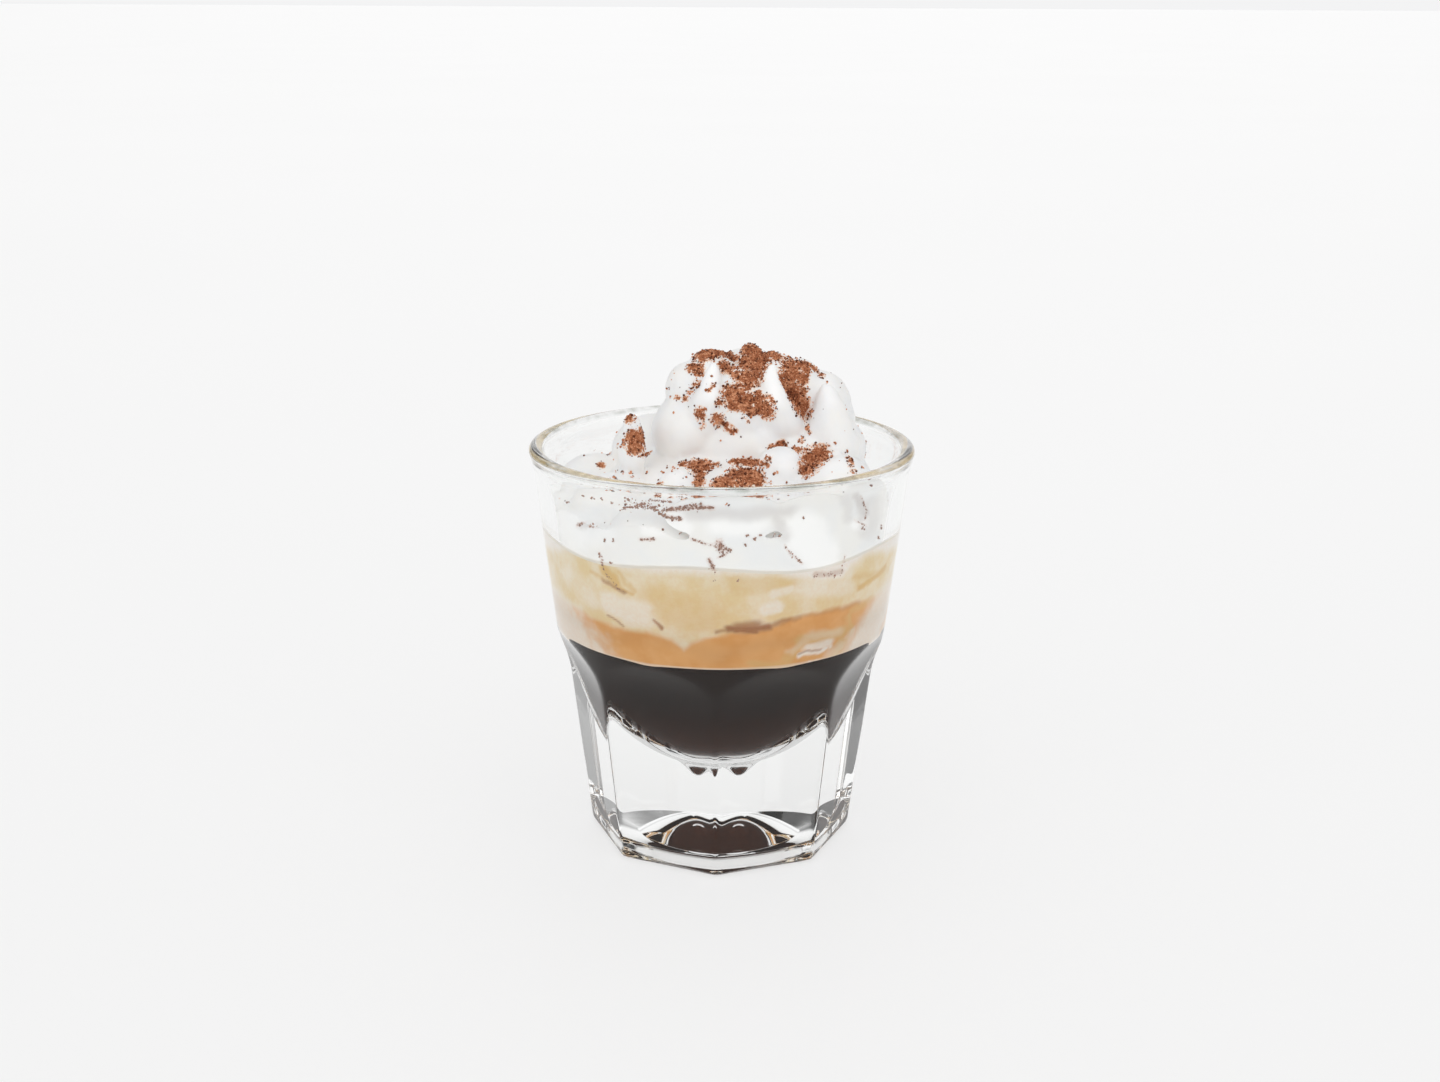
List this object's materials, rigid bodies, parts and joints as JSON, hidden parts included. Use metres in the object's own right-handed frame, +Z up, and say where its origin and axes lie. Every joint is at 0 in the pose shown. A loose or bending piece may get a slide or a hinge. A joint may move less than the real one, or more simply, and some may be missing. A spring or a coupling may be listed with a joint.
{
  "type": "coffee with whipped cream in a glass tumbler",
  "caption": "Layered coffee in a small faceted tumbler: dark coffee under crema and milk foam, topped with a tall heap of whipped cream.",
  "frame": {"origin": "centre of the tumbler's foot, on the surface it stands on", "axes": "+Z up along the tumbler's axis; one of its eight ridges on the -Y side; the heap's shown side faces -Y"},
  "size_m": [0.0738, 0.0738, 0.0971],
  "materials": {
    "tumbler": "clear, polished",
    "coffee": "dark liquid",
    "crema": "fine foam",
    "milk_foam": "fine foam",
    "whipped_cream": "soft, slightly moist"
  },
  "bodies": {
    "root": {"tumbler": "tumbler", "coffee": "coffee", "crema": "crema", "milk_foam": "milk_foam", "whipped_cream": "whipped_cream"}
  },
  "joints": []
}
